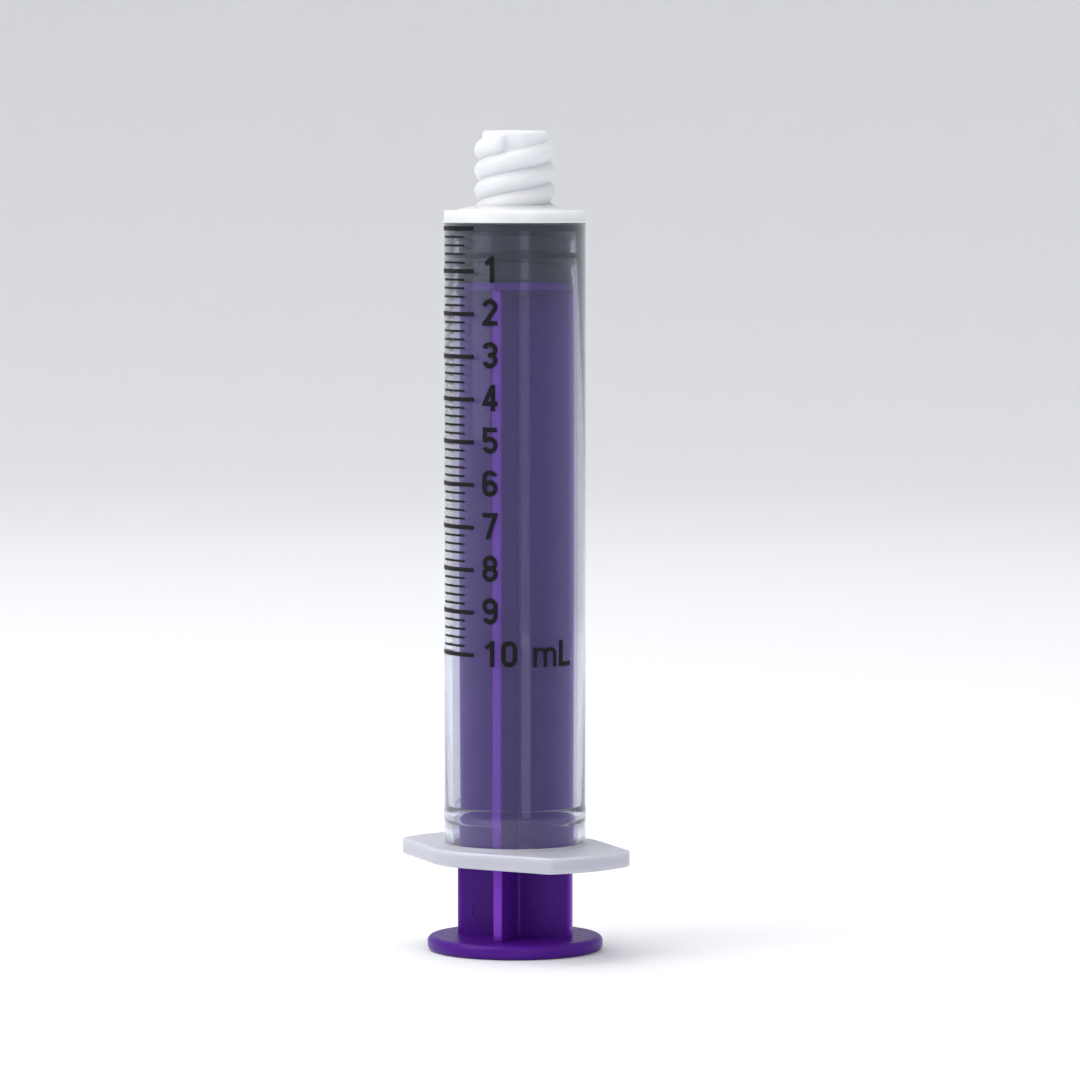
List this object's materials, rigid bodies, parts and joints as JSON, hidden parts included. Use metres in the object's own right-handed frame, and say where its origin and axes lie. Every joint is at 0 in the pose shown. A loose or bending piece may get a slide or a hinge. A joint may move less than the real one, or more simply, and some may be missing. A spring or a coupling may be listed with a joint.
{
  "type": "oral syringe",
  "caption": "Oral and enteral dosing syringe: clear graduated barrel with finger flange, two-start threaded tip, rubber stopper and cross-ribbed plunger with a round thumb plate.",
  "frame": {"origin": "centre of the underside of the thumb plate, where the syringe stands", "axes": "+Z along the syringe's axis towards the tip, X along the long axis of the finger flange, -Y towards the side that the scale faces"},
  "size_m": [0.0316, 0.0222, 0.1016],
  "materials": {
    "clear_plastic": "natural translucent polypropylene, smooth moulded, slightly hazy",
    "stopper_rubber": "slate grey-blue moulded rubber, satin, lightly oiled with silicone",
    "purple_plastic": "deep purple polypropylene, glossy, smooth moulded",
    "ink": "black pad-printed ink, thin, slightly speckled"
  },
  "bodies": {
    "barrel": {"barrel": "clear_plastic", "scale_lines": "ink", "scale_numerals": "ink", "scale_unit": "ink"},
    "stopper": {"stopper": "stopper_rubber"},
    "plunger_rod": {"plunger_rod": "purple_plastic"}
  },
  "joints": [
    {"name": "plunger_slide", "type": "slide", "parent": "barrel", "child": "stopper", "axis": [0, 0, -1], "range_m": [0, 0.0675]},
    {"name": "plunger_spin", "type": "hinge", "parent": "stopper", "child": "plunger_rod", "pos_m": [0, 0, 0.084], "axis": [0, 0, 1], "continuous": true}
  ]
}
